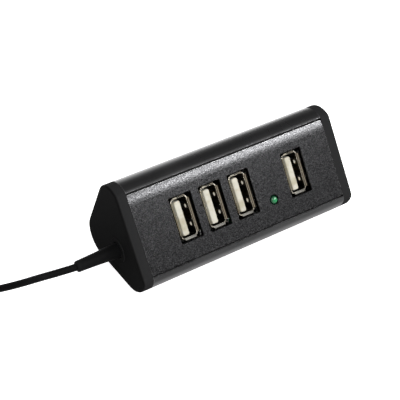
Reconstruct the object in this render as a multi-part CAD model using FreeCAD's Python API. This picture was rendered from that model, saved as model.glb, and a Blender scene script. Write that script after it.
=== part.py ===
import FreeCAD, Part
import math
import os

from FreeCAD import Placement, Rotation, Vector

# A four-port USB hub: a dark aluminium bar of rounded triangular section with a sloping front
# panel, two plastic end caps and a fixed cable. Millimetres, +X along the bar, +Z up, and the
# origin is the middle of the hub's footprint, without its cable.

# Driving dimensions of the bar
body_length = 73.0
front_angle = 56.8          # slope of the front panel above the horizontal
back_angle = 64.56          # slope of the back face
front_start, front_end = 11.1, 37.2     # flat part of the front, measured up its slope
front_corner = [(2.7, 49.5), (9.8, 73.7)]               # radius and turn of each arc
back_corner = [(7.3, 180 - back_angle)]
top_corner = [(8.1, 84.3), (2.4, front_angle + back_angle - 84.3)]
wall = 1.8

# End caps
cap_thickness = 3.6
cap_edge_radius = 0.7
cap_tab_length = 3.0
cap_tab_thickness = 1.2
cap_tab_gap = 0.1
base_tabs = [(8.5, 15.5)]               # each tab's span along the flat base
back_tabs = [(1.5, 8.5), (17.0, 20.5)]  # and along the flat back

# Front panel and the grooves that hold it
panel_thickness = 1.6
lower_gap, upper_gap = 0.3, 0.75        # open shadow lines between the plate and the bar's lips
lower_lip_end, upper_lip_end = 0.2, 0.8     # how far outside the flat each lip stops
panel_tongue = 0.45
panel_bevel = 0.25                      # along the plate's lower edge
crown_run, crown_radius = 3.2, 14.0     # the plate's upper strip curves back a little
lip_thickness = 0.9
groove_depth = 0.75
rail_depth = 2.6
cutout_width, cutout_height, cutout_radius = 8.0, 14.8, 0.3
rim_chamfer = 0.15                      # round every opening in the panel
cutout_low = 16.9

# Sockets and status light
port_x = [-19.95, -9.29, 1.37, 21.9]
port_up = cutout_low + cutout_height / 2
port_set_back = 0.95
shell_width, shell_height, shell_wall = 5.72, 13.1, 0.3
lip_width, lip_height = 6.9, 14.2
lip_run = 0.95
spring_offset, spring_width, spring_reach = 2.95, 1.7, 0.45
spring_root, spring_crest, spring_end = 1.6, 2.7, 7.6       # depths behind the shell's mouth
tongue_width, tongue_height, tongue_corner = 2.2, 11.1, 0.55
tongue_near, tongue_set_back = 0.45, 0.4    # from the shell's left wall, and behind its mouth
contact_up = [-3.5, -1.0, 1.0, 3.5]
contact_thickness = 0.2
light_x, light_up = 11.3, 18.75
light_radius, light_hole_radius = 1.5, 1.65

# Circuit board, held in ribs of the bar
board_depth = 14.5
board_thickness = 1.6
board_low, board_high = 12.9, 34.6
board_length = 70.2
board_rib = 0.9

# Feet
foot_height = 0.6
foot_radius = 3.0
foot_x, foot_inset = 29.0, 3.6      # from the middle, and from each end of the flat base

# Cable
cable_diameter = 2.3
exit_back, exit_up = 20.9, 11.1     # from the sharp front edge of the section
relief_length = 14.7
relief_root_radius, relief_tip_radius = 2.4, 1.8
relief_neck_radius, relief_flange_radius, relief_flange = 1.95, 3.2, 1.3
collar_inner, collar_outer, collar_height = 2.7, 4.0, 0.4
recess_depth = 0.6
coil_centre = Vector(-103.0, 3.0, 0)
coil_inner, coil_outer = 9.2, 16.3
coil_low, coil_high = 0.6, 7.4
tie_width, tie_thickness = 3.6, 0.5
tie_angle = 250

# Plug
plug_entry = Vector(-126.0, 12.5, 4.0)
plug_boot_length, plug_body_length = 8.0, 18.0
plug_body_width, plug_body_height = 15.4, 7.8
plug_shell_length, plug_shell_width, plug_shell_height = 11.75, 12.0, 4.5


def save(name, shape):
    shape.exportStep("parts/" + name + ".step")


def turned(heading):
    return Vector(0, math.cos(math.radians(heading)), math.sin(math.radians(heading)))


def section_path(inset):
    """Edges of the bar's section, inset from its outside: runs joined by tangent arcs."""
    up_slope = turned(front_angle)
    inward = turned(front_angle - 90)
    start = up_slope * front_start + inward * inset
    heading = front_angle - 180

    def bend_end(point, heading, radius, turn):
        centre = point + turned(heading + 90) * radius
        return centre, centre + turned(heading + turn - 90) * radius

    def corner(point, heading, arcs):
        edges = []
        for radius, turn in arcs:
            r = radius - inset
            centre, end = bend_end(point, heading, r, turn)
            middle = bend_end(point, heading, r, turn / 2)[1]
            edges.append((point, middle, end))
            point, heading = end, heading + turn
        return edges, point, heading

    front, base_start, heading = corner(start, heading, front_corner)
    # the base run and the back run are as long as it takes to come back to the front's upper end
    back, back_turned, back_heading = corner(Vector(), 0, back_corner)
    top, top_turned, _ = corner(Vector(), back_heading, top_corner)
    goal = up_slope * front_end + inward * inset - base_start - back_turned - top_turned
    back_length = goal.z / math.sin(math.radians(back_heading))
    base_length = goal.y - back_length * math.cos(math.radians(back_heading))
    base_end = base_start + turned(0) * base_length
    back, back_start, heading = corner(base_end, 0, back_corner)
    back_end = back_start + turned(heading) * back_length
    top, front_top, heading = corner(back_end, heading, top_corner)
    edges = [Part.Arc(*arc).toShape() for arc in front]
    edges.append(Part.LineSegment(base_start, base_end).toShape())
    edges += [Part.Arc(*arc).toShape() for arc in back]
    edges.append(Part.LineSegment(back_start, back_end).toShape())
    edges += [Part.Arc(*arc).toShape() for arc in top]
    edges.append(Part.LineSegment(front_top, start).toShape())
    return edges, (base_start, base_end), (back_start, back_end)


outline_edges, base_run, back_run = section_path(0)
section_box = Part.Wire(outline_edges).BoundBox
middle_back = (section_box.YMin + section_box.YMax) / 2
section_place = Vector(0, -middle_back, foot_height)
panel_frame = Placement(section_place, Rotation(Vector(1, 0, 0), front_angle - 90))


def section_solid(inset, x_low, x_high):
    edges = section_path(inset)[0]
    face = Part.Face(Part.Wire(edges))
    face.translate(section_place + Vector(x_low, 0, 0))
    return face.extrude(Vector(x_high - x_low, 0, 0))


def box(x, depth, up):
    """A box between pairs of values: along the bar, behind the panel's face, up its slope."""
    size = [high - low for low, high in (x, depth, up)]
    return Part.makeBox(*size, Vector(x[0], depth[0], up[0]))


def on_panel(shape):
    shape.Placement = panel_frame.multiply(shape.Placement)
    return shape


def rounded_bar(x, depth, up, radius):
    """A box whose edges along the depth are rounded."""
    bar = box(x, depth, up)
    edges = [e for e in bar.Edges if abs(e.tangentAt(e.FirstParameter).y) > 0.9]
    return bar.makeFillet(radius, edges)


def peg(radius, x, up, depth):
    return Part.makeCylinder(radius, depth[1] - depth[0], Vector(x, depth[0], up), Vector(0, 1, 0))


def prism(points, direction):
    wire = Part.makePolygon(points + points[:1])
    return Part.Face(wire).extrude(direction)


def fuse(shapes):
    return shapes[0].multiFuse(shapes[1:]).removeSplitter()


def group(shapes):
    return Part.makeCompound(shapes)


half = body_length / 2
outer = section_solid(0, -half, half)
groove_low, groove_high = front_start - lower_lip_end, front_end + upper_lip_end
whole_x = (-half, half)


def housing():
    """Extruded bar: a tube, open between two lips that hold the panel, with ribs for the board."""
    tube = outer.cut(section_solid(wall, -half - 1, half + 1))
    rails = [box(whole_x, (0, rail_depth), (front_start - 2.6, front_start + 1.1)),
             box(whole_x, (0, rail_depth), (front_end - 0.9, front_end + 2.8))]
    board_back = board_depth + board_thickness
    for low, high in ((board_depth - 1.05, board_depth - 0.05), (board_back + 0.05, board_back + 1.05)):
        rails.append(box(whole_x, (low, high), (8, board_low + board_rib)))
        rails.append(box(whole_x, (low, high), (board_high - board_rib, 40)))
    rails = [on_panel(rail).common(outer) for rail in rails]
    tube = fuse([tube] + rails)
    long_x = (-half - 1, half + 1)
    window = box(long_x, (-1, lip_thickness + groove_depth), (groove_low, groove_high))
    slot_reach = panel_tongue + 0.1
    slot = box(long_x, (lip_thickness, lip_thickness + groove_depth),
               (groove_low - slot_reach, groove_high + slot_reach))
    opening = box(long_x, (0, 4), (front_start + 1.1, front_end - 0.9))
    for hole in (window, slot, opening):
        tube = tube.cut(on_panel(hole))
    return tube


def front_panel():
    """Painted plate that slides in from the end: a full-thickness field with a tongue each side."""
    length = (-half + 0.05, half - 0.05)
    low, high = groove_low + lower_gap, groove_high - upper_gap
    crown_start = high - crown_run

    def face_point(up):
        rise = max(up - crown_start, 0)
        return Vector(length[0], crown_radius - math.sqrt(crown_radius ** 2 - rise ** 2), up)

    corners = [face_point(high), Vector(length[0], panel_thickness, high),
               Vector(length[0], panel_thickness, low), Vector(length[0], panel_bevel, low),
               face_point(low + panel_bevel), face_point(crown_start)]
    edges = [Part.LineSegment(a, b).toShape() for a, b in zip(corners, corners[1:])]
    edges.append(Part.Arc(corners[-1], face_point(high - crown_run / 2), corners[0]).toShape())
    field = Part.Face(Part.Wire(edges)).extrude(Vector(length[1] - length[0], 0, 0))
    tongue = box(length, (lip_thickness + 0.05, panel_thickness),
                 (groove_low - panel_tongue, groove_high + panel_tongue))
    panel = fuse([field, tongue])
    for x in port_x:
        panel = panel.cut(rounded_bar((x - cutout_width / 2, x + cutout_width / 2), (-1, 3),
                                      (cutout_low, cutout_low + cutout_height), cutout_radius))
    panel = panel.cut(peg(light_hole_radius, light_x, light_up, (-1, 3)))
    rims = [e for e in panel.Edges if e.BoundBox.YMax < 0.01 and e.BoundBox.ZMin > cutout_low - 0.01
            and e.BoundBox.ZMax < crown_start - 0.01]
    return on_panel(panel.makeChamfer(rim_chamfer, rims))


def cap_tab(run, span, x):
    """A flat tab that lies along a straight run of the bar's inside, between two points of it."""
    along = (run[1] - run[0]).normalize()
    inward = Vector(0, -along.z, along.y)
    corner = section_place + Vector(x[0], 0, 0) + run[0] + inward * (wall + cap_tab_gap)
    first, last = corner + along * span[0], corner + along * span[1]
    depth = inward * cap_tab_thickness
    return prism([first, last, last + depth, first + depth], Vector(x[1] - x[0], 0, 0))


def end_cap(side):
    """Moulded cap with a rounded outer edge and flat tabs that press into the bar."""
    if side < 0:
        plate = section_solid(0, -half - cap_thickness, -half)
    else:
        plate = section_solid(0, half, half + cap_thickness)
    outside = side * (half + cap_thickness)
    rim = [e for e in plate.Edges if abs(e.BoundBox.XMin - outside) < 0.01
           and abs(e.BoundBox.XMax - outside) < 0.01]
    plate = plate.makeFillet(cap_edge_radius, rim)
    tab_x = sorted((side * (half + 1), side * (half - cap_tab_length)))
    tabs = [cap_tab(base_run, span, tab_x) for span in base_tabs]
    tabs += [cap_tab(back_run, span, tab_x) for span in back_tabs]
    return fuse([plate] + tabs)


exit_point = section_place + Vector(-half - cap_thickness, exit_back, exit_up)
relief_tip = exit_point - Vector(relief_length, 0, 0)


def left_end_cap():
    """The left cap has the cable's hole, with a raised collar round it."""
    outward = Vector(-1, 0, 0)
    collar = Part.makeCylinder(collar_outer, collar_height + 1, exit_point - outward, outward)
    collar_face = exit_point.x - collar_height
    rim = [e for e in collar.Edges if abs(e.BoundBox.XMin - collar_face) < 0.01
           and abs(e.BoundBox.XMax - collar_face) < 0.01]
    collar = collar.makeFillet(0.2, rim)
    recess = Part.makeCylinder(collar_inner, collar_height + recess_depth,
                               exit_point - outward * recess_depth, outward)
    hole = Part.makeCylinder(relief_neck_radius, 20, exit_point - outward * 10, outward)
    return fuse([end_cap(-1), collar]).cut(recess).cut(hole)


def strain_relief():
    """Soft tapered boot: a flange inside the cap, a neck through it and a tapered sleeve."""
    inner_face = -half
    flange_face = inner_face + relief_flange
    shoulder = exit_point.x + recess_depth
    profile = [(flange_face, 0), (flange_face, relief_flange_radius), (inner_face, relief_flange_radius),
               (inner_face, relief_neck_radius), (shoulder, relief_neck_radius),
               (shoulder, relief_root_radius), (exit_point.x, relief_root_radius),
               (relief_tip.x + 0.5, relief_tip_radius + 0.02), (relief_tip.x, relief_tip_radius - 0.4),
               (relief_tip.x, 0)]
    points = [Vector(x, r, 0) for x, r in profile]
    body = Part.Face(Part.makePolygon(points + points[:1])).revolve(Vector(), Vector(1, 0, 0), 360)
    body.translate(Vector(0, exit_point.y, exit_point.z))
    return body


# Sockets

def port_shell(x):
    """Drawn and plated steel shell: a rounded tube with a flared lip and spring leaves."""
    mouth = port_set_back
    half_width, half_height = shell_width / 2, shell_height / 2
    tube = rounded_bar((x - half_width, x + half_width), (mouth + 0.6, board_depth),
                       (port_up - half_height, port_up + half_height), 0.9)
    inner_w, inner_h = half_width - shell_wall, half_height - shell_wall
    tube = tube.cut(rounded_bar((x - inner_w, x + inner_w), (mouth - 1, board_depth + 1),
                                (port_up - inner_h, port_up + inner_h), 0.6))
    pieces = [tube]
    root = mouth + lip_run
    for side in (-1, 1):
        # flap on each broad wall
        near, far = x + side * inner_w, x + side * lip_width / 2
        flap = [Vector(near, root, 0), Vector(near + side * shell_wall, root, 0),
                Vector(far, mouth + 0.15, 0), Vector(far - side * 0.2, mouth, 0),
                Vector(near, root - 0.3, 0)]
        piece = prism(flap, Vector(0, 0, 11.2))
        piece.translate(Vector(0, 0, port_up - 5.6))
        pieces.append(piece)
        # flap on each narrow wall
        near, far = port_up + side * inner_h, port_up + side * lip_height / 2
        flap = [Vector(0, root, near), Vector(0, root, near + side * shell_wall),
                Vector(0, mouth + 0.15, far), Vector(0, mouth, far - side * 0.2),
                Vector(0, root - 0.3, near)]
        piece = prism(flap, Vector(4.0, 0, 0))
        piece.translate(Vector(x - 2.0, 0, 0))
        pieces.append(piece)
    shell = fuse(pieces)
    leaves = []
    for side in (-1, 1):
        for offset in (-spring_offset, spring_offset):
            up = port_up + offset
            root, crest, end = mouth + spring_root, mouth + spring_crest, mouth + spring_end
            wall_in, wall_out = x + side * inner_w, x + side * (half_width + 0.5)
            slot_half = spring_width / 2 + 0.4
            shell = shell.cut(box(sorted((wall_in - side * 0.5, wall_out)), (root, end),
                                  (up - slot_half, up + slot_half)))
            out = x + side * half_width
            inmost = x + side * (inner_w - spring_reach)
            leaf = [Vector(out, root, 0), Vector(out - side * shell_wall, root, 0),
                    Vector(inmost, crest, 0), Vector(inmost + side * 0.12, crest + 0.6, 0),
                    Vector(out - side * shell_wall, end, 0), Vector(out, end, 0),
                    Vector(inmost + side * 0.45, crest + 0.4, 0)]
            piece = prism(leaf, Vector(0, 0, spring_width))
            piece.translate(Vector(0, 0, up - spring_width / 2))
            leaves.append(piece)
    legs = []
    for side in (-1, 1):
        for offset in (-5.0, 5.0):
            out = x + side * half_width
            legs.append(box(sorted((out, out - side * shell_wall)), (board_depth, board_depth + 2.6),
                            (port_up + offset - 0.5, port_up + offset + 0.5)))
    return fuse([shell] + leaves + legs)


def port_contacts(x):
    """Four spring contacts on the tongue's face, each with a tail through the board."""
    face = x - (shell_width / 2 - shell_wall) + tongue_near + tongue_width
    strips = []
    for offset in contact_up:
        up = port_up + offset
        strip = box((face - 0.1, face + contact_thickness - 0.1),
                    (port_set_back + 2.2, board_depth + 2.8), (up - 0.5, up + 0.5))
        bump = prism([Vector(face + 0.1, port_set_back + 2.9, 0),
                      Vector(face + 0.4, port_set_back + 3.7, 0),
                      Vector(face + 0.1, port_set_back + 4.5, 0)], Vector(0, 0, 1.0))
        bump.translate(Vector(0, 0, up - 0.5))
        strips.append(fuse([strip, bump]))
    return strips


def port_insulator(x):
    """Cream plastic tongue, standing on the block that fills the shell's back end."""
    half_width, half_height = shell_width / 2 - shell_wall, shell_height / 2 - shell_wall
    block = box((x - half_width + 0.02, x + half_width - 0.02), (board_depth - 2.2, board_depth),
                (port_up - half_height + 0.5, port_up + half_height - 0.5))
    left = x - half_width + tongue_near
    tongue = rounded_bar((left, left + tongue_width), (port_set_back + tongue_set_back, board_depth - 1),
                         (port_up - tongue_height / 2, port_up + tongue_height / 2), tongue_corner)
    nose = [e for e in tongue.Edges if abs(e.BoundBox.YMax - port_set_back - tongue_set_back) < 0.01]
    tongue = tongue.makeFillet(0.35, nose)
    insulator = fuse([block, tongue])
    for strip in port_contacts(x):
        insulator = insulator.cut(strip)
    return insulator


# Board and what is soldered to it

def status_light():
    lens = peg(light_radius, light_x, light_up, (1.0, 4.2))
    dome = Part.makeSphere(light_radius, Vector(light_x, 1.0, light_up))
    flange = peg(1.9, light_x, light_up, (4.2, 5.0))
    return fuse([lens, dome, flange])


def light_leads():
    return [box((light_x + side * 1.27 - 0.25, light_x + side * 1.27 + 0.25), (5.0, board_depth + 3.0),
                (light_up - 0.25, light_up + 0.25)) for side in (-1, 1)]


def chip(x, up, length, width, height):
    """A small chip part on the board's front face, with metal ends."""
    return box((x - length / 2, x + length / 2), (board_depth - height, board_depth),
               (up - width / 2, up + width / 2))


def hub_controller():
    """Square flat-pack on the board's back face with twelve gull-wing legs a side."""
    x, up, back = light_x, 26.0, board_depth + board_thickness
    body = box((x - 3.5, x + 3.5), (back + 0.1, back + 1.5), (up - 3.5, up + 3.5))
    pieces = [body]
    for step in range(12):
        along = (step - 5.5) * 0.5
        for side in (-1, 1):
            out = sorted((x + side * 3.4, x + side * 4.5))
            pieces.append(box(out, (back, back + 0.2), (up + along - 0.11, up + along + 0.11)))
            out = sorted((up + side * 3.4, up + side * 4.5))
            pieces.append(box((x + along - 0.11, x + along + 0.11), (back, back + 0.2), out))
    return fuse(pieces)


def crystal():
    """Quartz crystal in a low can with rounded ends."""
    return rounded_bar((light_x - 5.4, light_x + 5.4), (board_depth - 3.5, board_depth),
                       (27.6, 32.2), 2.2)


def bulk_capacitor(up):
    """Upright electrolytic capacitor with a rolled groove near its foot."""
    x = 30.0
    can = peg(2.5, x, up, (board_depth - 9.0, board_depth))
    rim = [e for e in can.Edges if abs(e.BoundBox.YMax - board_depth + 9.0) < 0.01]
    can = can.makeFillet(0.4, rim)
    groove = Part.makeTorus(2.75, 0.45, Vector(x, board_depth - 1.6, up), Vector(0, 1, 0))
    return can.cut(groove)


def circuit_board(through):
    board = box((-board_length / 2, board_length / 2), (board_depth, board_depth + board_thickness),
                (board_low, board_high))
    for piece in through:
        board = board.cut(piece)
    return board


def tube(points, diameter):
    """A round tube of straight runs joined by tangent arcs, each as large as its runs allow."""
    edges, at = [], points[0]
    for before, here, after in zip(points, points[1:], points[2:]):
        into, out = (here - before), (after - here)
        half_turn = into.getAngle(out) / 2
        cut = 0.45 * min(into.Length, out.Length)
        into.normalize()
        out.normalize()
        start, end = here - into * cut, here + out * cut
        radius = cut / math.tan(half_turn)
        to_centre = (out - into).normalize()
        middle = here + to_centre * (radius / math.cos(half_turn) - radius)
        edges += [Part.LineSegment(at, start).toShape(), Part.Arc(start, middle, end).toShape()]
        at = end
        print("bend radius %.1f mm, %.1f diameters" % (radius, radius / diameter))
    edges.append(Part.LineSegment(at, points[-1]).toShape())
    path = Part.Wire(edges)
    ring = Part.Wire(Part.makeCircle(diameter / 2, points[0], points[1] - points[0]))
    made = path.makePipeShell([ring], True, False)
    print("tube %.1f mm long, volume %.1f, section times length %.1f"
          % (path.Length, made.Volume, path.Length * math.pi * diameter ** 2 / 4))
    return made


wire_diameter = 0.8
wire_colours = ["red", "white", "green", "black"]


def board_wire(index):
    """One wire of the cable, from the strain relief's inner end to its pad on the board."""
    side, level = (index % 2) * 2 - 1, (index // 2) * 2 - 1
    sine, cosine = math.sin(math.radians(front_angle)), math.cos(math.radians(front_angle))
    exit_depth = exit_back * sine - exit_up * cosine
    exit_slope = exit_back * cosine + exit_up * sine
    start = Vector(-half + relief_flange, exit_depth + side * 0.5, exit_slope + level * 0.5)
    pad = Vector(-28.5 + 1.2 * side, board_depth, exit_slope + (index - 1.5) * 1.9)
    points = [start, start + Vector(1.9, 0, 0), pad - Vector(0, 1.7, 0), pad]
    return tube(points, wire_diameter)


# Cable outside the hub

# from the strain relief's tip down to the surface and up to the coil
route_to_coil = [
    relief_tip,
    relief_tip + Vector(-5.0, 0.8, -0.2),
    relief_tip + Vector(-10.6, 3.2, -1.5),
    relief_tip + Vector(-16.2, 7.6, -4.9),
    relief_tip + Vector(-22.2, 13.1, -8.6),
    relief_tip + Vector(-29.4, 17.4, -10.4),
    relief_tip + Vector(-37.2, 19.3, -10.1),
    Vector(-98.0, 17.2, 1.75),
]
# from the top of the coil down to the plug
route_to_plug = [
    Vector(-103.0, 16.9, 6.1),
    Vector(-109.4, 16.7, 5.9),
    Vector(-115.6, 15.0, 5.0),
    Vector(-121.0, 12.9, 4.1),
    plug_entry,
]


def cable_coil():
    """Outer shape of the tied coil: a thick ring with rounded edges."""
    ring = Part.makeCylinder(coil_outer, coil_high - coil_low, coil_centre + Vector(0, 0, coil_low))
    ring = ring.cut(Part.makeCylinder(coil_inner, coil_high, coil_centre))
    rims = [e for e in ring.Edges if isinstance(e.Curve, Part.Circle)]
    return ring.makeFillet(1.1, rims)


def cable_tie():
    """Strap round the coil's turns, closed by a small flat head on the outside."""
    low, high = coil_low - 0.05, coil_high + 0.05
    across = coil_outer - coil_inner + 0.1
    inner = Part.makeBox(across, tie_width + 2, high - low,
                         Vector(coil_inner - 0.05, -tie_width / 2 - 1, low))
    strap = Part.makeBox(across + 2 * tie_thickness, tie_width, high - low + 2 * tie_thickness,
                         Vector(coil_inner - 0.05 - tie_thickness, -tie_width / 2, low - tie_thickness))
    corners = [e for e in strap.Edges if abs(e.tangentAt(e.FirstParameter).y) > 0.9]
    strap = strap.makeFillet(0.45, corners)
    head = Part.makeBox(1.6, tie_width + 0.8, 4.0,
                        Vector(coil_outer + 0.05 + tie_thickness - 0.3, -tie_width / 2 - 0.4, 2.0))
    strap = fuse([strap, head]).cut(inner)
    strap.Placement = Placement(coil_centre, Rotation(Vector(0, 0, 1), tie_angle))
    return strap.cut(cable_coil())


def plug_overmould():
    """Moulded grip with rounded edges, and a ribbed sleeve where the cable goes in."""
    profile = [(0, 0), (0, 1.9)]
    steps = 4
    pitch = (plug_boot_length - 0.4) / steps
    for step in range(steps):
        radius = 1.95 + 0.25 * step
        x = 0.2 + pitch * step
        profile += [(x, radius + 0.2), (x + 0.62 * pitch, radius + 0.32),
                    (x + 0.62 * pitch, radius - 0.25), (x + pitch, radius - 0.2)]
    profile += [(plug_boot_length + 1, 2.9), (plug_boot_length + 1, 0)]
    points = [Vector(-x, r, 0) for x, r in profile]
    sleeve = Part.Face(Part.makePolygon(points + points[:1])).revolve(Vector(), Vector(1, 0, 0), 360)
    low = Vector(-plug_boot_length - plug_body_length, -plug_body_width / 2, -plug_body_height / 2)
    body = Part.makeBox(plug_body_length, plug_body_width, plug_body_height, low)
    long_edges = [e for e in body.Edges if abs(e.tangentAt(e.FirstParameter).x) > 0.9]
    body = body.makeFillet(2.4, long_edges)
    ends = [e for e in body.Edges if e.BoundBox.XLength < 0.01]
    body = body.makeFillet(0.9, ends)
    made = fuse([sleeve, body])
    made.translate(plug_entry)
    return made


plug_front = plug_entry - Vector(plug_boot_length + plug_body_length, 0, 0)


def plug_shell():
    """Folded steel shell with two square windows in each broad face."""
    outside = Part.makeBox(plug_shell_length, plug_shell_width, plug_shell_height,
                           Vector(-plug_shell_length, -plug_shell_width / 2, -plug_shell_height / 2))
    edges = [e for e in outside.Edges if abs(e.tangentAt(e.FirstParameter).x) > 0.9]
    outside = outside.makeFillet(0.5, edges)
    thickness = 0.3
    inside = Part.makeBox(plug_shell_length + 2, plug_shell_width - 2 * thickness,
                          plug_shell_height - 2 * thickness,
                          Vector(-plug_shell_length - 1, thickness - plug_shell_width / 2,
                                 thickness - plug_shell_height / 2))
    shell = outside.cut(inside)
    for side in (-1, 1):
        window = Part.makeBox(2.5, 2.2, 10, Vector(-6.6, side * 3.0 - 1.1, -5))
        shell = shell.cut(window)
    shell.translate(plug_front)
    return shell


def plug_contacts():
    blades = []
    for across in contact_up:
        blade = Part.makeBox(8.0, 1.1, 0.2, Vector(-8.9, across - 0.55, -0.1))
        blade.translate(plug_front)
        blades.append(blade)
    return blades


def plug_insulator():
    block = Part.makeBox(plug_shell_length - 0.4, plug_shell_width - 0.62, 1.95,
                         Vector(0.4 - plug_shell_length, 0.31 - plug_shell_width / 2, -1.94))
    block.translate(plug_front)
    for blade in plug_contacts():
        block = block.cut(blade)
    return block


def rubber_foot(x, back):
    pad = Part.makeCylinder(foot_radius, foot_height, Vector(x, back - middle_back, 0))
    rim = [e for e in pad.Edges if e.BoundBox.ZMax < 0.01 and isinstance(e.Curve, Part.Circle)]
    return pad.makeFillet(0.2, rim)


os.makedirs("parts", exist_ok=True)

save("housing", housing())
save("front_panel", front_panel())
save("left_end_cap", left_end_cap())
save("right_end_cap", end_cap(1))

through = []
for number, x in enumerate(port_x, 1):
    shell = port_shell(x)
    contacts = port_contacts(x)
    through += [shell] + contacts
    save("port_insulator_%d" % number, on_panel(port_insulator(x)))
    save("port_fuse_%d" % number, on_panel(chip(x, 15.4, 3.2, 1.6, 0.9)))
    save("port_capacitor_%d" % number, on_panel(chip(x, 32.5, 2.0, 1.25, 0.9)))
leads = light_leads()
save("circuit_board", on_panel(circuit_board(through + leads)))
for number, x in enumerate(port_x, 1):
    save("port_shell_%d" % number, on_panel(port_shell(x)))
    save("port_contacts_%d" % number, group([on_panel(strip) for strip in port_contacts(x)]))

save("status_light", on_panel(status_light()))
save("status_light_leads", group([on_panel(lead) for lead in leads]))
save("light_resistor", on_panel(chip(light_x + 4.4, 15.4, 2.0, 1.25, 0.6)))
save("hub_controller", on_panel(hub_controller()))
save("crystal", on_panel(crystal()))
for number, up in enumerate((19.5, 28.0), 1):
    save("bulk_capacitor_%d" % number, on_panel(bulk_capacitor(up)))
for index, colour in enumerate(wire_colours):
    save("cable_wire_" + colour, on_panel(board_wire(index)))

relief, coil, overmould = strain_relief(), cable_coil(), plug_overmould()
save("strain_relief", relief)
save("cable_tube", tube(route_to_coil, cable_diameter).cut(relief).cut(coil))
save("cable_coil", coil)
save("cable_tail", tube(route_to_plug, cable_diameter).cut(overmould).cut(coil))
save("cable_tie", cable_tie())
save("plug_overmould", overmould)
save("plug_shell", plug_shell())
save("plug_insulator", plug_insulator())
save("plug_contacts", group(plug_contacts()))

foot_backs = [base_run[0].y + foot_inset, base_run[1].y - foot_inset]
foot_places = [(side * foot_x, back) for side in (-1, 1) for back in foot_backs]
for number, (x, back) in enumerate(foot_places, 1):
    save("rubber_foot_%d" % number, rubber_foot(x, back))
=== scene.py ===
import math

import bmesh
import bpy
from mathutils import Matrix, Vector


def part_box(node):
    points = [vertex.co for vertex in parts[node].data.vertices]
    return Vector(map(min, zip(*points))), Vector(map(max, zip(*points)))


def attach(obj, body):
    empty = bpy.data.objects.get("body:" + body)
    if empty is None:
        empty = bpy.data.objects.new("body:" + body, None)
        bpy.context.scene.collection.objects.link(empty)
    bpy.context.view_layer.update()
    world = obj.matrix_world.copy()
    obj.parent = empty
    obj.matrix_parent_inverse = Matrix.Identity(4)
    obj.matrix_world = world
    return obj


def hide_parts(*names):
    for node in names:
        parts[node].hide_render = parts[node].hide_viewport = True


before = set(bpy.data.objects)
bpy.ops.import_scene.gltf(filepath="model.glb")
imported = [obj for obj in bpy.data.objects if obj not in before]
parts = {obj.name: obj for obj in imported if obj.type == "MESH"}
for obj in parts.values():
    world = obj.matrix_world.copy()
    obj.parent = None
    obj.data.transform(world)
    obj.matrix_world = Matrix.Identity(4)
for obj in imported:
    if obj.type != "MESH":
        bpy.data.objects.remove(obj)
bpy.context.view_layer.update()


# The studio: a pale floor that runs out of sight, under a camera that looks down on the hub's
# front left. A long strip light stands in front to the right, a wide key and a small fill to the
# left, and the rest of the light is a softbox whose brightness changes from front to back.
camera_place = Vector((-0.16056, -0.23588, 0.24343))
camera_aim = Vector((0.42072, 0.65327, -0.62947))
camera_data = bpy.data.cameras.new("camera")
camera_data.lens = 101.82
camera_data.sensor_width = 36.0
camera_data.clip_start = 0.01
camera = bpy.data.objects.new("camera", camera_data)
camera.location = camera_place
camera.rotation_mode = "QUATERNION"
camera.rotation_quaternion = camera_aim.to_track_quat("-Z", "Y")
bpy.context.scene.collection.objects.link(camera)
bpy.context.scene.camera = camera
bpy.context.scene.view_settings.view_transform = "Standard"


def new_material(name, **sockets):
    """A material whose Principled shader has these sockets set, with its node tree and shader."""
    material = bpy.data.materials.new(name)
    material.use_nodes = True
    shader = material.node_tree.nodes["Principled BSDF"]
    for socket, value in sockets.items():
        shader.inputs[socket.replace("_", " ")].default_value = value
    return material, material.node_tree, shader


def node(tree, kind, settings=(), **inputs):
    """A node of that kind in the tree. An input is a number or colour, or a socket to link from."""
    made = tree.nodes.new("ShaderNode" + kind)
    for setting, value in dict(settings).items():
        setattr(made, setting, value)
    for name, value in inputs.items():
        socket = made.inputs[int(name[1:]) if name[1:].isdigit() else name.replace("_", " ")]
        if isinstance(value, bpy.types.NodeSocket):
            tree.links.new(value, socket)
        else:
            socket.default_value = value
    return made


def link_piece(name, shape):
    """Turns a bmesh into a smooth object of that name, with its place in its mesh."""
    bmesh.ops.recalc_face_normals(shape, faces=shape.faces)
    mesh = bpy.data.meshes.new(name)
    shape.to_mesh(mesh)
    shape.free()
    mesh.shade_smooth()
    piece = bpy.data.objects.new(name, mesh)
    bpy.context.scene.collection.objects.link(piece)
    return piece


def lamp(name, place, target, size, power):
    """A rectangular area light of that size and power, turned to its target."""
    data = bpy.data.lights.new(name, "AREA")
    data.shape = "RECTANGLE"
    data.size, data.size_y = size
    data.energy = power
    lit = bpy.data.objects.new(name, data)
    lit.location = place
    lit.rotation_mode = "QUATERNION"
    lit.rotation_quaternion = (Vector(target) - Vector(place)).to_track_quat("-Z", "Y")
    bpy.context.scene.collection.objects.link(lit)


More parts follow.
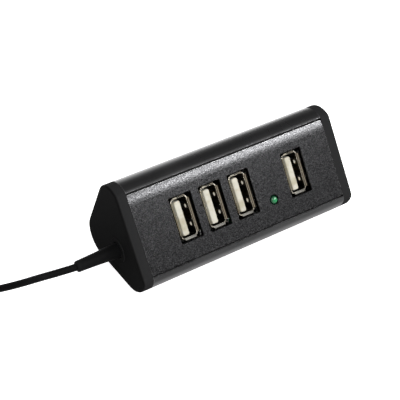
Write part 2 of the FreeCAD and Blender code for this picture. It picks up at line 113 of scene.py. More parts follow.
paper_white, mirrored_loss = 0.93, 0.28     # the floor's own colour, and how much a gloss sees less
backlit_from, backlit_to = 0.02, 0.10       # behind the hub, the floor is lit brighter than in front
backlight, paper_lift = 1.7, 0.7
sweep_shape = bmesh.new()
bmesh.ops.create_grid(sweep_shape, x_segments=2, y_segments=2, size=3.0)
sweep = link_piece("sweep", sweep_shape)
sweep_paint, tree, shader = new_material("pale sweep", Roughness=0.9, Specular_IOR_Level=0.1,
                                         Emission_Color=(1, 1, 1, 1))
seen = node(tree, "LightPath")
paper = node(tree, "Math", {"operation": "MULTIPLY_ADD"}, _0=seen.outputs["Is Glossy Ray"],
             _1=-mirrored_loss, _2=paper_white)
tree.links.new(paper.outputs[0], shader.inputs["Base Color"])
where = node(tree, "SeparateXYZ", Vector=node(tree, "TexCoord").outputs["Object"])
behind = node(tree, "MapRange", Value=where.outputs["Y"], From_Min=backlit_from, From_Max=backlit_to,
              To_Min=0.0, To_Max=backlight)
mirrored = node(tree, "Math", {"operation": "MULTIPLY"}, _0=seen.outputs["Is Glossy Ray"],
                _1=behind.outputs["Result"])
lift = node(tree, "Math", {"operation": "MULTIPLY_ADD"}, _0=seen.outputs["Is Camera Ray"],
            _1=paper_lift, _2=mirrored.outputs[0])
tree.links.new(lift.outputs[0], shader.inputs["Emission Strength"])
sweep.data.materials.append(sweep_paint)

world = bpy.data.worlds.new("studio")
world.use_nodes = True
tree = world.node_tree
sky = node(tree, "TexCoord")
facing = node(tree, "SeparateXYZ", Vector=sky.outputs["Generated"])
turn = node(tree, "MapRange", Value=facing.outputs["Y"], From_Min=-1.0)
shade = node(tree, "ValToRGB", Fac=turn.outputs["Result"])
# how bright the softbox is, from straight in front (0) over the top (0.5) to straight behind (1)
softbox = [(0.0, 0.34), (0.052, 0.32), (0.08, 0.22), (0.13, 0.19), (0.22, 0.80), (0.42, 1.40), (0.54, 0.48),
           (0.66, 0.33), (0.80, 0.24), (0.915, 0.50), (0.940, 1.9), (1.0, 1.9)]
for position, _ in softbox[1:-1]:
    shade.color_ramp.elements.new(position)
for stop, (position, level) in zip(shade.color_ramp.elements, softbox):
    stop.position, stop.color = position, (level, level, level, 1)
tree.links.new(shade.outputs["Color"], tree.nodes["Background"].inputs["Color"])
bpy.context.scene.world = world

lamp("left_key", (-0.62, -0.55, 0.90), (0, 0, 0), (0.7, 0.7), 5.0)
lamp("front_fill", (-0.25, -0.60, 0.38), (0, 0, 0), (0.3, 0.3), 0.7)
lamp("front_strip", (0.375, -0.370, 0.425), (0, 0, 0.02), (0.50, 0.10), 5.3)


# The extruded bar: one length of aluminium pushed through a die, so its faint lines run from
# end to end, then etched, dyed black and sealed, with a satin surface and cut ends.
fine_scale = 2500.0         # of the dust and the pits, the same on every piece


def surface_group():
    """Shared node group: soft smudges, fine dust and small pits for any surface that is handled."""
    group = bpy.data.node_groups.new("Handled surface", "ShaderNodeTree")
    face = group.interface
    face.new_socket("Vector", in_out="INPUT", socket_type="NodeSocketVector")
    face.new_socket("Smudge scale", in_out="INPUT", socket_type="NodeSocketFloat")
    for output in ("Smudge", "Dust", "Pits"):
        face.new_socket(output, in_out="OUTPUT", socket_type="NodeSocketFloat")
    start = group.nodes.new("NodeGroupInput")
    end = group.nodes.new("NodeGroupOutput")
    smudge = node(group, "TexNoise", Vector=start.outputs["Vector"], Scale=start.outputs["Smudge scale"],
                  Detail=5.0, Roughness=0.6)
    soft = node(group, "MapRange", {"interpolation_type": "SMOOTHSTEP"}, Value=smudge.outputs["Fac"],
                From_Min=0.42, From_Max=0.68)
    specks = node(group, "TexVoronoi", {"feature": "F1"}, Vector=start.outputs["Vector"], Scale=fine_scale)
    dust = node(group, "MapRange", Value=specks.outputs["Distance"], From_Min=0.16, From_Max=0.08)
    seldom = node(group, "TexNoise", Vector=start.outputs["Vector"], Scale=700.0, Detail=1.0)
    few = node(group, "Math", {"operation": "GREATER_THAN"}, _0=seldom.outputs["Fac"], _1=0.66)
    lone = node(group, "Math", {"operation": "MULTIPLY"}, _0=dust.outputs["Result"], _1=few.outputs[0])
    pits = node(group, "TexNoise", Vector=start.outputs["Vector"], Scale=fine_scale, Detail=2.0,
                Roughness=0.5)
    group.links.new(soft.outputs["Result"], end.inputs["Smudge"])
    group.links.new(lone.outputs[0], end.inputs["Dust"])
    group.links.new(pits.outputs["Fac"], end.inputs["Pits"])
    return group


def edge_group():
    """Shared node group: 1 along outside edges, broken up by noise, where a finish wears first."""
    group = bpy.data.node_groups.new("Worn edge", "ShaderNodeTree")
    face = group.interface
    face.new_socket("Vector", in_out="INPUT", socket_type="NodeSocketVector")
    reach = face.new_socket("Reach", in_out="INPUT", socket_type="NodeSocketFloat")
    reach.default_value = 0.0002
    face.new_socket("Edge", in_out="OUTPUT", socket_type="NodeSocketFloat")
    start = group.nodes.new("NodeGroupInput")
    end = group.nodes.new("NodeGroupOutput")
    rounded = node(group, "Bevel", {"samples": 6}, Radius=start.outputs["Reach"])
    plain = node(group, "NewGeometry")
    same = node(group, "VectorMath", {"operation": "DOT_PRODUCT"}, _0=rounded.outputs["Normal"],
                _1=plain.outputs["Normal"])
    turned = node(group, "MapRange", Value=same.outputs["Value"], From_Min=0.985, From_Max=0.88)
    patches = node(group, "TexNoise", Vector=start.outputs["Vector"], Scale=420.0, Detail=4.0)
    broken = node(group, "MapRange", Value=patches.outputs["Fac"], From_Min=0.35, From_Max=0.62)
    edge = node(group, "Math", {"operation": "MULTIPLY"}, _0=turned.outputs["Result"],
                _1=broken.outputs["Result"])
    group.links.new(edge.outputs[0], end.inputs["Edge"])
    return group


handled_surface = surface_group()
worn_edge = edge_group()


def handled(tree, place, smudge_scale):
    """The shared surface group placed in a material, with its own scale of smudges."""
    return node(tree, "Group", {"node_tree": handled_surface}, Vector=place, Smudge_scale=smudge_scale)


def mixed(tree, mask, first, second):
    """A colour between two, by a mask."""
    mix = tree.nodes.new("ShaderNodeMix")
    mix.data_type = "RGBA"
    for socket, value in ((mix.inputs[0], mask), (mix.inputs[6], first), (mix.inputs[7], second)):
        if isinstance(value, bpy.types.NodeSocket):
            tree.links.new(value, socket)
        else:
            socket.default_value = value
    return mix.outputs[2]


def ranged(tree, value, low, high, start=0.0, stop=1.0):
    """A value carried from start..stop to low..high, and held there past its ends."""
    made = node(tree, "MapRange", Value=value)
    for socket, number in zip(made.inputs[1:5], (start, stop, low, high)):
        socket.default_value = number
    return made.outputs["Result"]


def bumped(tree, shader, height, distance, strength=1.0, over=None):
    """A Bump node on the shader's normal, over another bump if one is given."""
    bump = node(tree, "Bump", Height=height, Distance=distance, Strength=strength)
    if over is not None:
        tree.links.new(over, bump.inputs["Normal"])
    tree.links.new(bump.outputs["Normal"], shader.inputs["Normal"])
    return bump.outputs["Normal"]


def object_place(tree):
    """The place on the object, in metres, for a pattern that stays put on it."""
    return tree.nodes.new("ShaderNodeTexCoord").outputs["Object"]


def dress(material, *names):
    """The CAD nodes of these names get the material in every slot."""
    for name in names:
        for slot in parts[name].material_slots:
            slot.material = material


def worn(tree, place, reach):
    """The shared edge group placed in a material: 1 where its finish is rubbed off an edge."""
    return node(tree, "Group", {"node_tree": worn_edge}, Vector=place, Reach=reach).outputs["Edge"]


die_stretch, die_line_depth = 0.02, 0.000004        # the lines run fifty times longer than wide
bar_finish, tree, shader = new_material("black anodised bar", Metallic=1.0)
place = object_place(tree)
drawn = node(tree, "Mapping", Vector=place, Scale=(die_stretch, 1.0, 1.0))
die_lines = node(tree, "TexNoise", Vector=drawn.outputs["Vector"], Scale=2600.0, Detail=3.0, Roughness=0.7)
touch = handled(tree, place, 45.0)
edge = worn(tree, place, 0.00015)
black = mixed(tree, touch.outputs["Smudge"], (0.056, 0.056, 0.057, 1), (0.066, 0.066, 0.067, 1))
tree.links.new(mixed(tree, edge, black, (0.34, 0.34, 0.35, 1)), shader.inputs["Base Color"])
tree.links.new(ranged(tree, touch.outputs["Smudge"], 0.27, 0.33), shader.inputs["Roughness"])
bumped(tree, shader, die_lines.outputs["Fac"], die_line_depth)
dress(bar_finish, "housing")


# The front panel: a plate slid in from the end of the bar and held by its grooves. It is painted
# in a charcoal metallic texture coat, with a pebbled grain of under half a millimetre.
panel_tilt = math.radians(56.8 - 90)                # the slope of 56.8 degrees, from the upright
section_start = Vector((0, -0.02314, 0.0006))       # where the front face's line meets the base's
groove_shade_depth = 0.0006                                 # past this depth behind the face the panel is painted near black, a painted shade in the groove
groove_shade_fade = 0.0001
pebble_height, ripple_height = 0.00002, 0.000025


def from_panel(tree, place, start=section_start):
    """The place measured from a start: X along the bar, Y into the panel and Z up its slope."""
    moved = node(tree, "VectorMath", {"operation": "SUBTRACT"}, _0=place, _1=start)
    tilted = node(tree, "VectorRotate", {"rotation_type": "X_AXIS"}, Vector=moved.outputs["Vector"],
                  Angle=-panel_tilt)
    return node(tree, "SeparateXYZ", Vector=tilted.outputs["Vector"]).outputs


panel_finish, tree, shader = new_material("charcoal texture coat", Metallic=1.0)
place = object_place(tree)
groove_shade = ranged(tree, from_panel(tree, place)["Y"], 0.0, 1.0, groove_shade_depth, groove_shade_depth + groove_shade_fade)
pebble = node(tree, "TexVoronoi", {"feature": "SMOOTH_F1"}, Vector=place, Scale=2600.0, Smoothness=0.6)
ripple = node(tree, "TexNoise", Vector=place, Scale=1900.0, Detail=3.0, Roughness=0.6)
flake = node(tree, "TexNoise", Vector=place, Scale=3300.0, Detail=0.0)
spark = ranged(tree, flake.outputs["Fac"], 0.0, 1.0, 0.40, 0.66)
edge = worn(tree, place, 0.00012)
coat = mixed(tree, spark, (0.022, 0.022, 0.0230, 1), (0.062, 0.062, 0.0636, 1))
coat = mixed(tree, edge, coat, (0.30, 0.30, 0.30, 1))
# the panel behind its face, seen down the groove, is painted near black as painted shade
tree.links.new(mixed(tree, groove_shade, coat, (0.010, 0.010, 0.010, 1)), shader.inputs["Base Color"])
tree.links.new(ranged(tree, ripple.outputs["Fac"], 0.24, 0.34, 0.3, 0.7), shader.inputs["Roughness"])
grain = bumped(tree, shader, pebble.outputs["Distance"], pebble_height, 0.6)
bumped(tree, shader, ripple.outputs["Fac"], ripple_height, 0.4, grain)
dress(panel_finish, "front_panel")


# The end caps: black ABS mouldings with a fine spark-eroded texture, pressed into the bar's ends
# by tabs. The left one has a raised ring round the cable's hole.
cap_finish, tree, shader = new_material("matt black moulding", Specular_IOR_Level=0.004)
place = object_place(tree)
texture = node(tree, "TexNoise", Vector=place, Scale=3200.0, Detail=3.0, Roughness=0.65)
touch = handled(tree, place, 55.0)
edge = worn(tree, place, 0.0002)
facing = node(tree, "SeparateXYZ", Vector=node(tree, "NewGeometry").outputs["Normal"])
sideways = node(tree, "Math", {"operation": "ABSOLUTE"}, _0=facing.outputs["X"])
face_black = mixed(tree, touch.outputs["Smudge"], (0.0048, 0.0048, 0.0049, 1), (0.0062, 0.0062, 0.0063, 1))
# the band round the cap is painted lighter than the end face: a painted sheen
band_sheen = ranged(tree, sideways.outputs[0], 1.0, 0.0, 0.15, 0.6)
black = mixed(tree, band_sheen, face_black, (0.0135, 0.0135, 0.0138, 1))
tree.links.new(mixed(tree, edge, black, (0.022, 0.022, 0.022, 1)), shader.inputs["Base Color"])
tree.links.new(ranged(tree, touch.outputs["Smudge"], 0.50, 0.60), shader.inputs["Roughness"])
bumped(tree, shader, texture.outputs["Fac"], 0.000012, 0.6)
dress(cap_finish, "left_end_cap", "right_end_cap")


# The cable: four wires in a smooth black PVC jacket 2.3 mm across, led out of the left cap. What
# isn't in use is wound into a neat coil in three layers, and its last length goes to the plug.
cable_size = 0.0023
cable_exit = Vector((-0.0401, -0.00224, 0.0117))
relief_tip = Vector((-0.0548, -0.00224, 0.0117))
to_coil = [
    relief_tip,
    relief_tip + Vector((-0.0050, 0.0008, -0.0002)),
    relief_tip + Vector((-0.0106, 0.0032, -0.0015)),
    relief_tip + Vector((-0.0162, 0.0076, -0.0049)),
    relief_tip + Vector((-0.0222, 0.0131, -0.0086)),
    relief_tip + Vector((-0.0294, 0.0174, -0.0104)),
    relief_tip + Vector((-0.0372, 0.0193, -0.0101)),
    Vector((-0.0980, 0.0172, 0.00175)),
]
to_plug = [
    Vector((-0.1030, 0.0169, 0.0061)),
    Vector((-0.1094, 0.0167, 0.0059)),
    Vector((-0.1156, 0.0150, 0.0050)),
    Vector((-0.1210, 0.0129, 0.0041)),
    Vector((-0.1260, 0.0125, 0.0040)),
]
coil_middle = Vector((-0.1030, 0.0030, 0))
# each turn's radius and height: three turns inwards, three back out on top, and one over them
turns = [(0.01495, 0.00175), (0.01265, 0.00175), (0.01035, 0.00175), (0.01035, 0.00395),
         (0.01265, 0.00395), (0.01495, 0.00395), (0.0139, 0.0061), (0.0139, 0.0061)]
first_angle, last_angle = 70.6, 90.0
steps = 24
crossing = 0.84             # the share of a turn after which the cable moves over to the next one

route = list(to_coil)
turn_steps = (len(turns) - 1) * steps
for step in range(1, turn_steps + 1):
    turn, share = divmod(step / steps, 1)
    turn = min(int(turn), len(turns) - 2)
    if step == turn_steps:
        share = 1.0
    over = min(max((share - crossing) / (1 - crossing), 0), 1)
    over = over * over * (3 - 2 * over)
    radius = turns[turn][0] * (1 - over) + turns[turn + 1][0] * over
    height = turns[turn][1] * (1 - over) + turns[turn + 1][1] * over
    angle = math.radians(first_angle + 360 * step / steps)
    route.append(coil_middle + Vector((radius * math.cos(angle), radius * math.sin(angle), height)))
route += to_plug

line = bpy.data.curves.new("cable", "CURVE")
line.dimensions = "3D"
spline = line.splines.new("NURBS")
spline.points.add(len(route) - 1)
for point, place in zip(spline.points, route):
    point.co = (*place, 1)
spline.order_u = 3
spline.use_endpoint_u = True
spline.resolution_u = 5
line.bevel_depth = cable_size / 2
line.bevel_resolution = 6
line.use_fill_caps = True
cable = bpy.data.objects.new("cable", line)
bpy.context.scene.collection.objects.link(cable)

jacket, tree, shader = new_material("black cable jacket", Specular_IOR_Level=0.04)
place = object_place(tree)
touch = handled(tree, place, 80.0)
black = mixed(tree, touch.outputs["Smudge"], (0.003, 0.003, 0.0032, 1), (0.006, 0.006, 0.0062, 1))
tree.links.new(mixed(tree, touch.outputs["Dust"], black, (0.10, 0.10, 0.10, 1)), shader.inputs["Base Color"])
tree.links.new(ranged(tree, touch.outputs["Pits"], 0.42, 0.55), shader.inputs["Roughness"])
bumped(tree, shader, touch.outputs["Pits"], 0.00001)
line.materials.append(jacket)
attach(cable, "root")
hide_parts("cable_tube", "cable_coil", "cable_tail")


# The strain relief: a soft PVC boot moulded onto the cable, snapped through the left cap. It
# tapers from the cap to a rounded lip round the cable, with a flange inside the cap.
flange = [(-0.0352, 0.0), (-0.0352, 0.0032), (-0.0365, 0.0032), (-0.0365, 0.00195), (-0.0395, 0.00195)]
taper = [(-0.0395, 0.0024), (-0.0401, 0.00241), (-0.0438, 0.00228), (-0.0475, 0.00208), (-0.0510, 0.00192)]
lip = [(-0.0542, 0.00182), (-0.0546, 0.0017), (-0.0548, 0.0014), (-0.0548, 0.0)]
relief_shape = bmesh.new()
rim = [relief_shape.verts.new((x, cable_exit.y + radius, cable_exit.z))
       for x, radius in flange + taper + lip]
for first, second in zip(rim, rim[1:]):
    relief_shape.edges.new((first, second))
bmesh.ops.spin(relief_shape, geom=relief_shape.verts[:] + relief_shape.edges[:], cent=cable_exit,
               axis=(1, 0, 0), angle=math.tau, steps=40, use_merge=True)
bmesh.ops.remove_doubles(relief_shape, verts=relief_shape.verts, dist=0.000001)
relief = link_piece("relief_boot", relief_shape)
soft_pvc, tree, shader = new_material("soft black boot", Specular_IOR_Level=0.02)
place = object_place(tree)
touch = handled(tree, place, 90.0)
moulding = node(tree, "TexNoise", Vector=place, Scale=1700.0, Detail=3.0)
black = mixed(tree, touch.outputs["Smudge"], (0.005, 0.005, 0.0052, 1), (0.008, 0.008, 0.0084, 1))
tree.links.new(black, shader.inputs["Base Color"])
tree.links.new(ranged(tree, touch.outputs["Smudge"], 0.46, 0.58), shader.inputs["Roughness"])
bumped(tree, shader, moulding.outputs["Fac"], 0.00001)
relief.data.materials.append(soft_pvc)
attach(relief, "root")
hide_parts("strain_relief")


# The tie: a narrow black nylon strap drawn round the coil's turns, closed by a flat head. Its
# fine ribs catch in the head.
strap_finish, tree, shader = new_material("black tie strap", Specular_IOR_Level=0.12)
place = object_place(tree)
ribs = node(tree, "TexWave", {"bands_direction": "Z"}, Vector=place, Scale=900.0, Distortion=0.4)
touch = handled(tree, place, 120.0)
tree.links.new(mixed(tree, touch.outputs["Smudge"], (0.012, 0.012, 0.012, 1), (0.022, 0.022, 0.022, 1)),
               shader.inputs["Base Color"])
tree.links.new(ranged(tree, touch.outputs["Pits"], 0.35, 0.5), shader.inputs["Roughness"])
bumped(tree, shader, ribs.outputs["Fac"], 0.00005, 0.6)
dress(strap_finish, "cable_tie")


# The plug: a steel shell folded from nickel-plated strip, its white insert and gold contacts, in
# a matt black PVC grip moulded round them and the cable's end.
grip_finish, tree, shader = new_material("matt black grip", Specular_IOR_Level=0.12)
place = object_place(tree)
touch = handled(tree, place, 70.0)
texture = node(tree, "TexNoise", Vector=place, Scale=2600.0, Detail=3.0)
edge = worn(tree, place, 0.0002)
black = mixed(tree, touch.outputs["Smudge"], (0.010, 0.010, 0.0103, 1), (0.015, 0.015, 0.0155, 1))
tree.links.new(mixed(tree, edge, black, (0.03, 0.03, 0.03, 1)), shader.inputs["Base Color"])
tree.links.new(ranged(tree, touch.outputs["Smudge"], 0.50, 0.62), shader.inputs["Roughness"])
bumped(tree, shader, texture.outputs["Fac"], 0.00002)
dress(grip_finish, "plug_overmould")

nickel, tree, shader = new_material("nickel plate", Metallic=1.0)
place = object_place(tree)
touch = handled(tree, place, 200.0)
rolled = node(tree, "Mapping", Vector=place, Scale=(0.4, 1.0, 1.0))
rolling = node(tree, "TexNoise", Vector=rolled.outputs["Vector"], Scale=1500.0, Detail=3.0)
plate = mixed(tree, touch.outputs["Smudge"], (0.62, 0.59, 0.53, 1), (0.50, 0.47, 0.41, 1))
tree.links.new(plate, shader.inputs["Base Color"])
tree.links.new(ranged(tree, touch.outputs["Smudge"], 0.16, 0.30), shader.inputs["Roughness"])
bumped(tree, shader, rolling.outputs["Fac"], 0.000004)
dress(nickel, "plug_shell")

insert_finish, tree, shader = new_material("white insert", IOR=1.5)
place = object_place(tree)
touch = handled(tree, place, 150.0)
tree.links.new(ranged(tree, touch.outputs["Pits"], 0.38, 0.52), shader.inputs["Roughness"])
tree.links.new(mixed(tree, touch.outputs["Smudge"], (0.84, 0.84, 0.81, 1), (0.76, 0.76, 0.73, 1)),
               shader.inputs["Base Color"])
bumped(tree, shader, touch.outputs["Pits"], 0.000008)
dress(insert_finish, "plug_insulator")

gold, tree, shader = new_material("gold flash", Metallic=1.0)
place = object_place(tree)
touch = handled(tree, place, 300.0)
wiped = node(tree, "Mapping", Vector=place, Scale=(0.1, 1.0, 1.0))
wipe = node(tree, "TexNoise", Vector=wiped.outputs["Vector"], Scale=3000.0, Detail=2.0)
tree.links.new(mixed(tree, touch.outputs["Smudge"], (0.95, 0.68, 0.27, 1), (0.80, 0.55, 0.22, 1)),
               shader.inputs["Base Color"])
tree.links.new(ranged(tree, wipe.outputs["Fac"], 0.18, 0.34), shader.inputs["Roughness"])
bumped(tree, shader, wipe.outputs["Fac"], 0.000003)
ports = range(1, 5)
dress(gold, "plug_contacts", *["port_contacts_%d" % number for number in ports])


# The sockets: nickel-plated steel shells with a flared mouth and spring leaves, each round a
# cream nylon tongue that carries four gold contacts. Deep inside, the shells are painted dark: painted
# shade.
mouth_depth, spring_depth = 0.00095, 0.0032         # the shell's mouth and its springs, behind the panel
port_up, spring_offset = 0.0243, 0.00295            # the sockets' middle, up the slope, and the springs'
line_gap = 0.00036                                  # between the lines that the bending tool leaves
spring_tall, spring_deep = 0.00065, 0.00035         # half sizes of the patch painted bright on each spring: a painted highlight
# the depths behind the panel over which the shells' insides turn to painted shade
inner_shade_from, inner_shade_to = mouth_depth + 0.0007, mouth_depth + 0.0017

socket_plate, tree, shader = new_material("socket shell plate", Metallic=1.0)
place = object_place(tree)
split = from_panel(tree, place)
inside = ranged(tree, split["Y"], 0.0, 1.0, inner_shade_from, inner_shade_to)
from_middle = node(tree, "Math", {"operation": "SUBTRACT"}, _0=split["Z"], _1=port_up)
either_side = node(tree, "Math", {"operation": "ABSOLUTE"}, _0=from_middle.outputs[0])
along = node(tree, "Math", {"operation": "SUBTRACT"}, _0=either_side.outputs[0], _1=spring_offset)
down = node(tree, "Math", {"operation": "SUBTRACT"}, _0=split["Y"], _1=spring_depth)
narrowed = node(tree, "Math", {"operation": "MULTIPLY"}, _0=along.outputs[0], _1=spring_deep / spring_tall)
gap = node(tree, "CombineXYZ", X=narrowed.outputs[0], Y=down.outputs[0])
away = node(tree, "VectorMath", {"operation": "LENGTH"}, _0=gap.outputs["Vector"])
spring_glint = ranged(tree, away.outputs["Value"], 1.0, 0.0, spring_deep * 0.8, spring_deep * 1.2)
normal = node(tree, "NewGeometry").outputs["Normal"]
facing = node(tree, "SeparateXYZ", Vector=normal)
# the painted shade stays off the wall behind the tongue and off the painted highlights on the springs
far_wall = node(tree, "Math", {"operation": "LESS_THAN"}, _0=facing.outputs["X"], _1=0.5)
shaded_walls = node(tree, "Math", {"operation": "MULTIPLY"}, _0=inside, _1=far_wall.outputs[0])
inner_shade = node(tree, "Math", {"operation": "MULTIPLY"}, _0=shaded_walls.outputs[0], _1=ranged(tree, spring_glint, 1.0, 0.0))
touch = handled(tree, place, 300.0)
plate = mixed(tree, touch.outputs["Smudge"], (0.60, 0.56, 0.48, 1), (0.40, 0.36, 0.29, 1))
# the right flap is painted brown, a painted shade, and the end flaps bright, a painted highlight;
# the bending tool leaves lines along them all
turns_down = node(tree, "Math", {"operation": "MULTIPLY"}, _0=split["Y"], _1=math.tau / line_gap)
swing = node(tree, "Math", {"operation": "SINE"}, _0=turns_down.outputs[0])
lined = ranged(tree, swing.outputs[0], 0.0, 1.0, -0.5, 0.5)
brown_painted_shade = mixed(tree, lined, (0.05, 0.038, 0.024, 1), (0.32, 0.28, 0.215, 1))
pale_painted_highlight = mixed(tree, lined, (0.70, 0.67, 0.59, 1), (1.0, 0.99, 0.93, 1))
right_flap = ranged(tree, facing.outputs["X"], 1.0, 0.0, -0.5, -0.25)
plate = mixed(tree, right_flap, plate, brown_painted_shade)
lean = node(tree, "VectorMath", {"operation": "DOT_PRODUCT"}, _0=normal,
            _1=(0, math.sin(-panel_tilt), math.cos(panel_tilt)))
leaning = node(tree, "Math", {"operation": "ABSOLUTE"}, _0=lean.outputs["Value"])
end_flap = ranged(tree, leaning.outputs[0], 0.0, 1.0, 0.25, 0.5)
plate = mixed(tree, end_flap, plate, pale_painted_highlight)
# a painted highlight, near white, on each spring's crest
plate = mixed(tree, spring_glint, plate, (1.0, 0.98, 0.92, 1))
# deep inside, the shell is painted near black: painted shade
tree.links.new(mixed(tree, inner_shade.outputs[0], plate, (0.05, 0.045, 0.038, 1)), shader.inputs["Base Color"])
deep_glint = node(tree, "Math", {"operation": "MULTIPLY"}, _0=spring_glint, _1=inside)
tree.links.new(ranged(tree, deep_glint.outputs[0], 0.24, 0.75), shader.inputs["Roughness"])
bumped(tree, shader, touch.outputs["Pits"], 0.000006)
dress(socket_plate, *["port_shell_%d" % number for number in ports])

nylon, tree, shader = new_material("cream nylon", IOR=1.5, Subsurface_Weight=0.15,
                                   Subsurface_Scale=0.0006, Subsurface_Radius=(1.0, 0.8, 0.5))
place = object_place(tree)
touch = handled(tree, place, 240.0)
tree.links.new(mixed(tree, touch.outputs["Smudge"], (0.350, 0.334, 0.282, 1), (0.255, 0.233, 0.168, 1)),
               shader.inputs["Base Color"])
tree.links.new(ranged(tree, touch.outputs["Pits"], 0.36, 0.5), shader.inputs["Roughness"])
bumped(tree, shader, touch.outputs["Pits"], 0.000008)
dress(nylon, *["port_insulator_%d" % number for number in ports])


# The status light: a 3 mm green diffusing lamp, moulded in tinted epoxy round its tinned leads,
# soldered to the board and showing through the panel's hole.
rim_shade_from, rim_shade_to = 0.0005, 0.0013           # how far from its axis the lens is painted dark, a painted shade round its rim
lens, tree, shader = new_material("green lamp lens", IOR=1.4, Coat_Weight=0.25, Coat_Roughness=0.05)
place = object_place(tree)
touch = handled(tree, place, 300.0)
low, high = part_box("status_light")
from_axis = from_panel(tree, place, (low + high) / 2)
across = node(tree, "CombineXYZ", X=from_axis["X"], Z=from_axis["Z"])
radius = node(tree, "VectorMath", {"operation": "LENGTH"}, _0=across.outputs["Vector"])
green = mixed(tree, touch.outputs["Smudge"], (0.007, 0.150, 0.047, 1), (0.006, 0.125, 0.040, 1))
# the lens is painted near black round its rim: painted shade where it sits in the panel's hole
rim = ranged(tree, radius.outputs["Value"], 0.0, 1.0, rim_shade_from, rim_shade_to)
tree.links.new(mixed(tree, rim, green, (0.001, 0.014, 0.006, 1)), shader.inputs["Base Color"])
tree.links.new(ranged(tree, touch.outputs["Smudge"], 0.14, 0.2), shader.inputs["Roughness"])
dress(lens, "status_light")

tinned, tree, shader = new_material("tinned wire", Metallic=1.0)
place = object_place(tree)
touch = handled(tree, place, 400.0)
tree.links.new(mixed(tree, touch.outputs["Smudge"], (0.70, 0.70, 0.69, 1), (0.55, 0.55, 0.54, 1)),
               shader.inputs["Base Color"])
tree.links.new(ranged(tree, touch.outputs["Pits"], 0.25, 0.42), shader.inputs["Roughness"])
bumped(tree, shader, touch.outputs["Pits"], 0.00001)
dress(tinned, "status_light_leads")


# The circuit board: glass-epoxy laminate with a black solder mask over copper tracks, slid into
# the bar's ribs with everything soldered to it.
mask_finish, tree, shader = new_material("black solder mask", IOR=1.5, Coat_Weight=0.3, Coat_Roughness=0.2)
place = object_place(tree)
flat = node(tree, "Mapping", Vector=place, Rotation=(-panel_tilt, 0, 0))
uneven = {"offset": 0.37, "offset_frequency": 3, "squash": 0.6, "squash_frequency": 5}
tracks = node(tree, "TexBrick", uneven, Vector=flat.outputs["Vector"], Scale=420.0,
              Mortar_Size=0.03, Mortar_Smooth=0.2, Brick_Width=0.9, Row_Height=0.24)
touch = handled(tree, place, 120.0)
black = mixed(tree, tracks.outputs["Fac"], (0.005, 0.006, 0.0055, 1), (0.012, 0.014, 0.012, 1))
tree.links.new(mixed(tree, touch.outputs["Dust"], black, (0.10, 0.10, 0.10, 1)), shader.inputs["Base Color"])
tree.links.new(ranged(tree, touch.outputs["Smudge"], 0.28, 0.42), shader.inputs["Roughness"])
bumped(tree, shader, tracks.outputs["Fac"], 0.00003)
dress(mask_finish, "circuit_board")


# The parts on the board: a controller chip, its crystal, two bulk capacitors, a resettable fuse
# and a ceramic capacitor for each socket, and the light's resistor, all reflow or wave soldered.
def plain_finish(name, first, second, rough, metallic=0.0, pit=0.00001, smudge=250.0):
    """A mottled finish between two colours, for a small part."""
    material, tree, shader = new_material(name, Metallic=metallic)
    place = object_place(tree)
    touch = handled(tree, place, smudge)
    tree.links.new(mixed(tree, touch.outputs["Smudge"], (*first, 1), (*second, 1)),
                   shader.inputs["Base Color"])
    tree.links.new(ranged(tree, touch.outputs["Pits"], rough - 0.07, rough + 0.07),
                   shader.inputs["Roughness"])
    bumped(tree, shader, touch.outputs["Pits"], pit)
    return material


body_share = 0.32           # of a chip part's length, how far its body reaches from its middle
fuse_length, chip_length = 0.0032, 0.0020


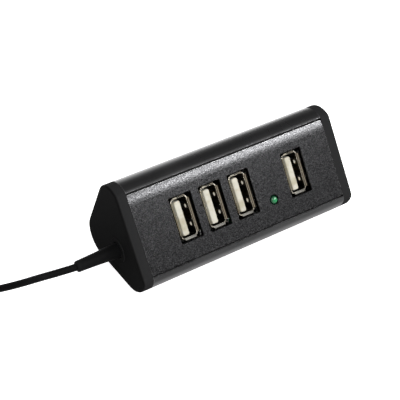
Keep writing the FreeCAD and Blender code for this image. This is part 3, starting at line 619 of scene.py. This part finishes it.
def ended_finish(name, body, length, rough, part):
    """The body colour of a chip part with tinned ends, which lie along X from its middle."""
    low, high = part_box(part)
    middle = (low.x + high.x) / 2
    material, tree, shader = new_material(name)
    place = object_place(tree)
    split = node(tree, "SeparateXYZ", Vector=place)
    away = node(tree, "Math", {"operation": "SUBTRACT"}, _0=split.outputs["X"], _1=middle)
    far = node(tree, "Math", {"operation": "ABSOLUTE"}, _0=away.outputs[0])
    ends = node(tree, "Math", {"operation": "GREATER_THAN"}, _0=far.outputs[0], _1=length * body_share)
    touch = handled(tree, place, 400.0)
    solder = mixed(tree, touch.outputs["Smudge"], (0.62, 0.62, 0.60, 1), (0.48, 0.48, 0.47, 1))
    tree.links.new(mixed(tree, ends.outputs[0], (*body, 1), solder), shader.inputs["Base Color"])
    tree.links.new(ends.outputs[0], shader.inputs["Metallic"])
    tree.links.new(ranged(tree, touch.outputs["Pits"], rough - 0.08, rough + 0.08),
                   shader.inputs["Roughness"])
    bumped(tree, shader, touch.outputs["Pits"], 0.00002)
    dress(material, part)


dress(plain_finish("black chip package", (0.015, 0.015, 0.016), (0.024, 0.024, 0.025), 0.5),
      "hub_controller")
dress(plain_finish("drawn can", (0.74, 0.73, 0.70), (0.62, 0.61, 0.58), 0.28, 1.0, 0.000006), "crystal")
dress(plain_finish("capacitor can", (0.80, 0.80, 0.81), (0.68, 0.68, 0.70), 0.32, 1.0, 0.000006),
      "bulk_capacitor_1", "bulk_capacitor_2")
for number in ports:
    ended_finish("chip fuse %d" % number, (0.02, 0.16, 0.05), fuse_length, 0.45, "port_fuse_%d" % number)
    ended_finish("chip capacitor %d" % number, (0.30, 0.19, 0.11), chip_length, 0.45,
                 "port_capacitor_%d" % number)
ended_finish("chip resistor", (0.015, 0.015, 0.016), chip_length, 0.4, "light_resistor")


# The cable's four wires: tinned strands in thin coloured PVC, bared where the jacket ends inside
# the bar, fanned out and soldered to pads on the board.
for colour, first, second in (("red", (0.50, 0.012, 0.012), (0.40, 0.01, 0.01)),
                              ("white", (0.80, 0.80, 0.77), (0.70, 0.70, 0.67)),
                              ("green", (0.012, 0.26, 0.05), (0.01, 0.20, 0.04)),
                              ("black", (0.013, 0.013, 0.013), (0.02, 0.02, 0.02))):
    dress(plain_finish(colour + " insulation", first, second, 0.42), "cable_wire_" + colour)


# The feet: four thin pads of soft black rubber, punched from sheet and stuck to the flat of the
# bar's underside near its corners.
foot_rubber = plain_finish("black foot rubber", (0.018, 0.018, 0.018), (0.030, 0.030, 0.029), 0.8,
                           pit=0.00004, smudge=180.0)
dress(foot_rubber, *["rubber_foot_%d" % number for number in range(1, 5)])
